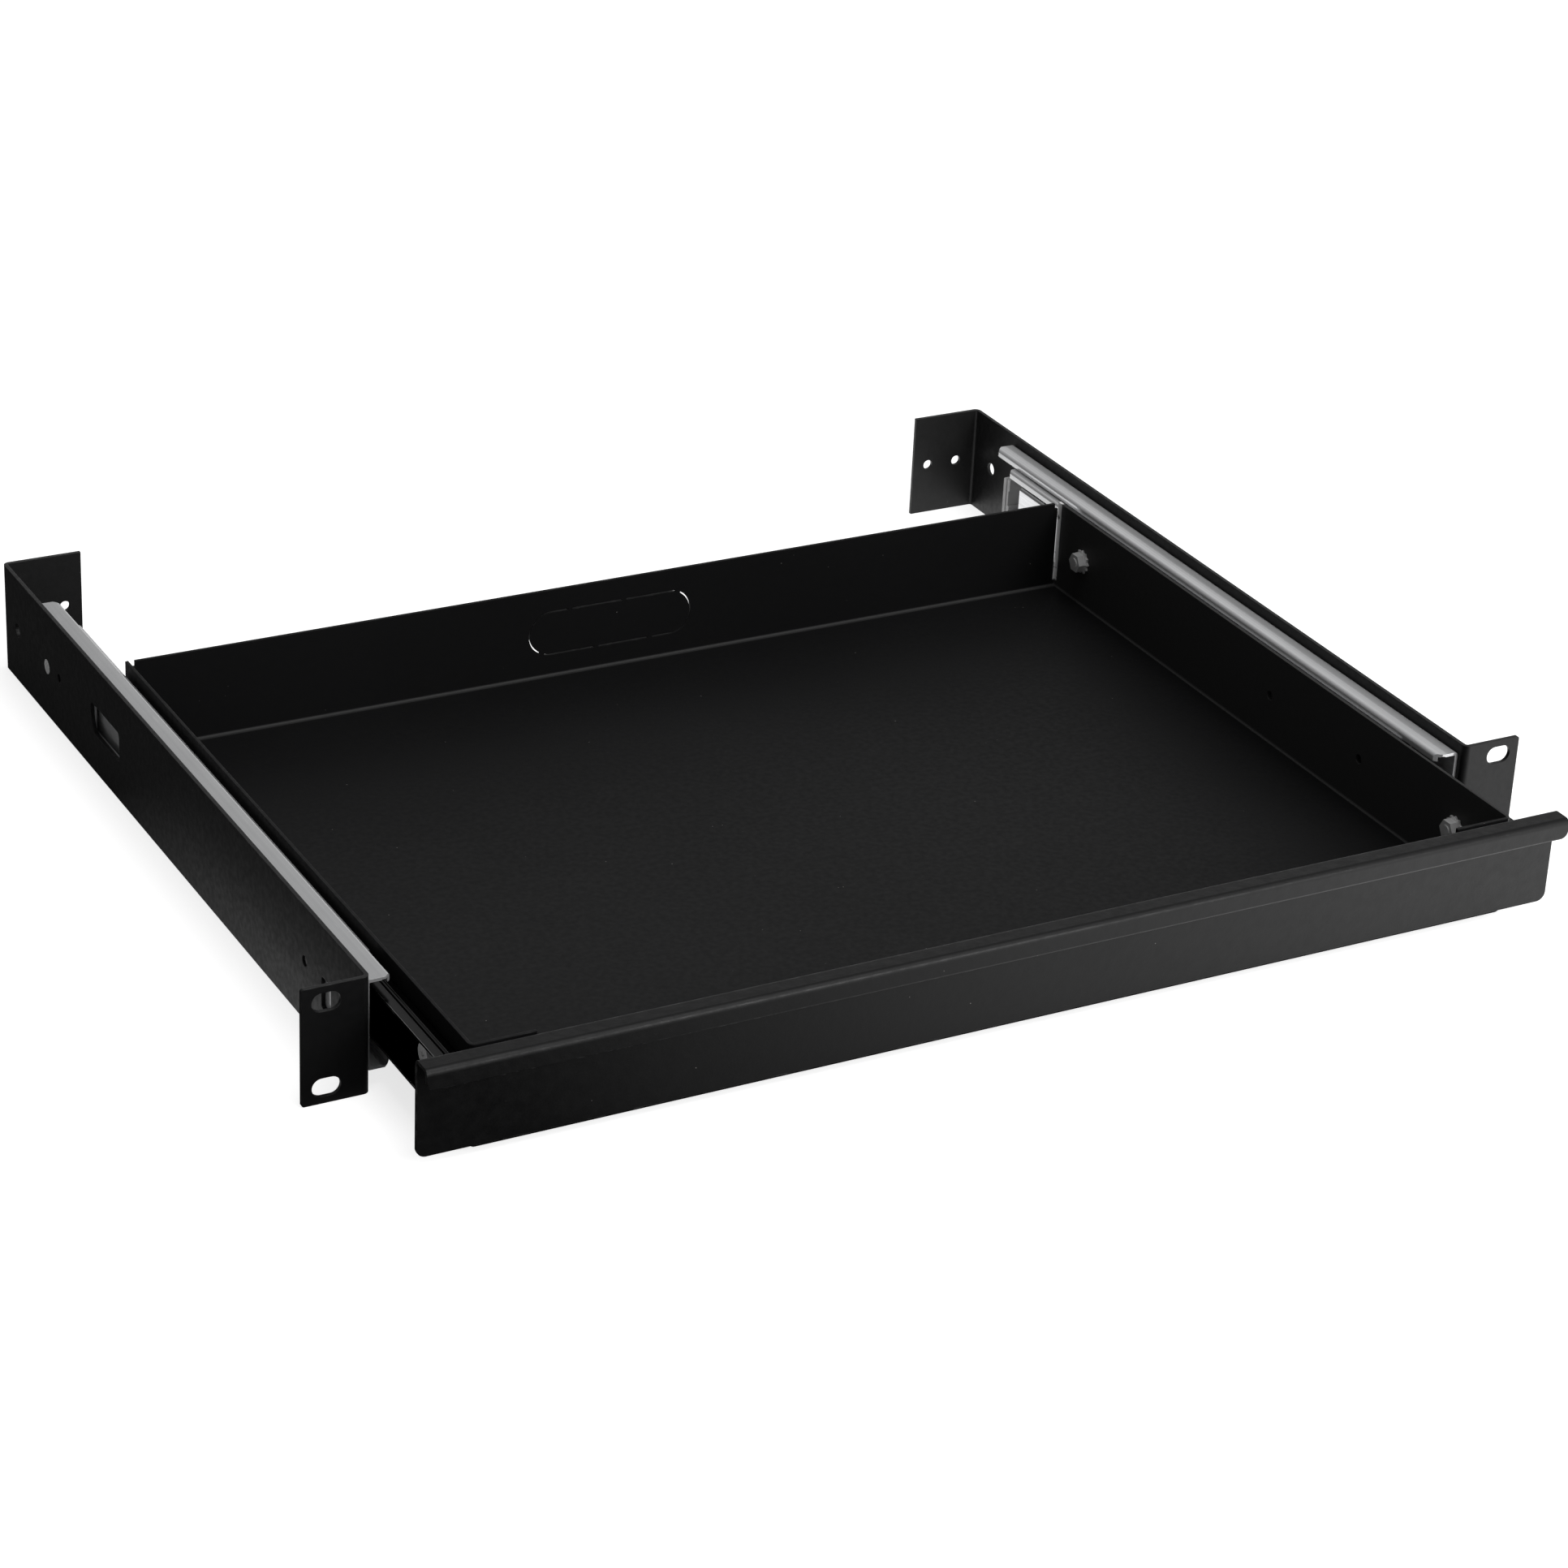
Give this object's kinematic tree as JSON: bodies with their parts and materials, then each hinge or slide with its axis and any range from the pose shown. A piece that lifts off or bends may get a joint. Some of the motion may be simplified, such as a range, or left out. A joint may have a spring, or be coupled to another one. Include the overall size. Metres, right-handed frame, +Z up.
{
  "type": "sliding rack drawer",
  "caption": "Low sliding drawer for a rack: folded steel tray and plain front with a pull lip, on three-section ball-bearing slides between two eared side brackets.",
  "frame": {"origin": "centre of the four ear slots, on the front plane of the ears; the drawer is drawn out 47 mm from shut", "axes": "+X runs across the rack to the right seen from the front, +Y runs into the rack, +Z is up"},
  "size_m": [0.4826, 0.4148, 0.0436],
  "materials": {
    "black_powder_coat": "fine textured black powder coat on folded steel",
    "front_powder_coat": "fine textured black powder coat, lightly rubbed",
    "zinc_rail": "clear zinc plate on rolled steel, with rolling lines",
    "zinc_cage": "zinc plated thin strip",
    "steel_ball": "polished bearing steel",
    "zinc_fastener": "bright zinc plate",
    "pale_plastic": "natural white moulded plastic"
  },
  "bodies": {
    "frame": {"left_bracket": "black_powder_coat", "right_bracket": "black_powder_coat", "left_outer_rail": "zinc_rail", "right_outer_rail": "zinc_rail", "left_rail_screws": "zinc_fastener", "right_rail_screws": "zinc_fastener"},
    "middle_rails": {"left_middle_rail": "zinc_rail", "right_middle_rail": "zinc_rail", "left_end_bumper": "pale_plastic", "right_end_bumper": "pale_plastic"},
    "outer_cages": {"left_outer_cage": "zinc_cage", "right_outer_cage": "zinc_cage", "left_outer_balls": "steel_ball", "right_outer_balls": "steel_ball"},
    "inner_cages": {"left_inner_cage": "zinc_cage", "right_inner_cage": "zinc_cage", "left_inner_balls": "steel_ball", "right_inner_balls": "steel_ball"},
    "drawer": {"drawer_tray": "black_powder_coat", "front_panel": "front_powder_coat", "left_inner_rail": "zinc_rail", "right_inner_rail": "zinc_rail", "left_drawer_bolts": "zinc_fastener", "right_drawer_bolts": "zinc_fastener", "left_keps_nuts": "zinc_fastener", "right_keps_nuts": "zinc_fastener", "left_lock_washers": "zinc_fastener", "right_lock_washers": "zinc_fastener"}
  },
  "joints": [
    {"name": "drawer_slide", "type": "slide", "parent": "frame", "child": "drawer", "axis": [0, -1, 0], "range_m": [-0.047, 0.275]},
    {"name": "middle_slide", "type": "slide", "parent": "frame", "child": "middle_rails", "axis": [0, -1, 0], "range_m": [-0.0235, 0.1375]},
    {"name": "outer_cage_slide", "type": "slide", "parent": "frame", "child": "outer_cages", "axis": [0, -1, 0], "range_m": [-0.01175, 0.06875]},
    {"name": "inner_cage_slide", "type": "slide", "parent": "frame", "child": "inner_cages", "axis": [0, -1, 0], "range_m": [-0.03525, 0.20625]}
  ],
  "couplings": [
    {"joint": "middle_slide", "follows": "drawer_slide", "ratio": 0.5},
    {"joint": "outer_cage_slide", "follows": "drawer_slide", "ratio": 0.25},
    {"joint": "inner_cage_slide", "follows": "drawer_slide", "ratio": 0.75}
  ]
}
